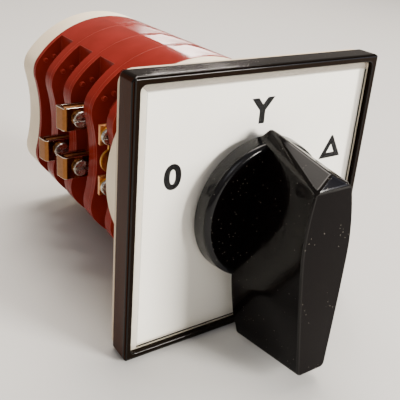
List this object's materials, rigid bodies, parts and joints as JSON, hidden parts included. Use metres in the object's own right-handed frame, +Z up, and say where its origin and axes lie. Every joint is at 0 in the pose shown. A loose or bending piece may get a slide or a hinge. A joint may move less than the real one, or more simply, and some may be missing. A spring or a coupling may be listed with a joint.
{
  "type": "rotary cam switch",
  "caption": "Panel-mounted rotary cam switch with a square lettered front plate, a black lever handle, stacked red contact decks and screw clamp terminals.",
  "frame": {"origin": "on the shaft axis, in the plane where the back of the front plate's gasket meets the panel", "axes": "+Z up, the front plate faces -Y, the shaft runs along +Y into the contact decks, +X is to the viewer's right"},
  "size_m": [0.064, 0.1086, 0.064],
  "materials": {
    "phenolic": "moulded brick-red thermoset, semi-gloss",
    "cream_plastic": "moulded cream thermoset, satin",
    "black_gloss": "polished black",
    "black_handle": "polished black",
    "label": "white painted sheet with black print",
    "clear": "clear polished",
    "gasket_board": "pale matt sheet",
    "zinc_steel": "zinc plated",
    "spring_steel": "drawn wire and strip",
    "nickel": "nickel plated, bright",
    "brass": "rolled sheet",
    "contact_metal": "copper alloy with silver buttons",
    "cam_plastic": "off-white polyamide",
    "plunger_plastic": "natural polyamide"
  },
  "bodies": {
    "switch_body": {"bezel_frame": "black_gloss", "gasket": "gasket_board", "label_plate": "label", "clear_cover": "clear", "plate_screws": "zinc_steel", "index_housing": "cream_plastic", "index_springs": "spring_steel", "deck_1": "phenolic", "deck_2": "phenolic", "deck_3": "phenolic", "deck_4": "phenolic", "contact_springs": "spring_steel", "fixed_contacts_1": "contact_metal", "fixed_contacts_2": "contact_metal", "fixed_contacts_3": "contact_metal", "fixed_contacts_4": "contact_metal", "clamps_left": "nickel", "clamps_right": "nickel", "link_strap": "brass", "terminal_screws_left": "zinc_steel", "terminal_screws_right": "zinc_steel", "rear_plate": "cream_plastic", "tie_screws": "zinc_steel"},
    "rotor": {"handle": "black_handle", "grub_screw": "zinc_steel", "shaft": "zinc_steel", "index_wheel": "cam_plastic", "stop_disc": "cam_plastic", "cam_1": "cam_plastic", "cam_2": "cam_plastic", "cam_3": "cam_plastic", "cam_4": "cam_plastic"},
    "pusher_left_1": {"plunger_left_1": "plunger_plastic", "bridge_left_1": "contact_metal"},
    "pusher_right_1": {"plunger_right_1": "plunger_plastic", "bridge_right_1": "contact_metal"},
    "pusher_left_2": {"plunger_left_2": "plunger_plastic", "bridge_left_2": "contact_metal"},
    "pusher_right_2": {"plunger_right_2": "plunger_plastic", "bridge_right_2": "contact_metal"},
    "pusher_left_3": {"plunger_left_3": "plunger_plastic", "bridge_left_3": "contact_metal"},
    "pusher_right_3": {"plunger_right_3": "plunger_plastic", "bridge_right_3": "contact_metal"},
    "pusher_left_4": {"plunger_left_4": "plunger_plastic", "bridge_left_4": "contact_metal"},
    "pusher_right_4": {"plunger_right_4": "plunger_plastic", "bridge_right_4": "contact_metal"}
  },
  "joints": [
    {"name": "handle_turn", "type": "hinge", "parent": "switch_body", "child": "rotor", "pos_m": [0, 0, 0], "axis": [0, 1, 0], "range_deg": [-60, 60], "deforming": ["index_springs", "contact_springs"]},
    {"name": "contact_left_1", "type": "slide", "parent": "switch_body", "child": "pusher_left_1", "axis": [-1, 0, 0], "range_m": [-0.00102, 0.00102]},
    {"name": "contact_right_1", "type": "slide", "parent": "switch_body", "child": "pusher_right_1", "axis": [1, 0, 0], "range_m": [-0.00102, 0.00102]},
    {"name": "contact_left_2", "type": "slide", "parent": "switch_body", "child": "pusher_left_2", "axis": [-1, 0, 0], "range_m": [-0.00102, 0.00102]},
    {"name": "contact_right_2", "type": "slide", "parent": "switch_body", "child": "pusher_right_2", "axis": [1, 0, 0], "range_m": [-0.00102, 0.00102]},
    {"name": "contact_left_3", "type": "slide", "parent": "switch_body", "child": "pusher_left_3", "axis": [-1, 0, 0], "range_m": [-0.00102, 0.00102]},
    {"name": "contact_right_3", "type": "slide", "parent": "switch_body", "child": "pusher_right_3", "axis": [1, 0, 0], "range_m": [-0.00102, 0.00102]},
    {"name": "contact_left_4", "type": "slide", "parent": "switch_body", "child": "pusher_left_4", "axis": [-1, 0, 0], "range_m": [-0.00102, 0.00102]},
    {"name": "contact_right_4", "type": "slide", "parent": "switch_body", "child": "pusher_right_4", "axis": [1, 0, 0], "range_m": [-0.00102, 0.00102]}
  ],
  "couplings": [
    {"joint": "contact_left_1", "follows": "handle_turn", "m_per_rad": 0.00095493},
    {"joint": "contact_right_1", "follows": "handle_turn", "m_per_rad": 0.00095493},
    {"joint": "contact_left_2", "follows": "handle_turn", "m_per_rad": 0.00095493},
    {"joint": "contact_right_2", "follows": "handle_turn", "m_per_rad": 0.00095493},
    {"joint": "contact_left_3", "follows": "handle_turn", "m_per_rad": 0.00095493},
    {"joint": "contact_right_3", "follows": "handle_turn", "m_per_rad": 0.00095493},
    {"joint": "contact_left_4", "follows": "handle_turn", "m_per_rad": 0.00095493},
    {"joint": "contact_right_4", "follows": "handle_turn", "m_per_rad": 0.00095493}
  ]
}
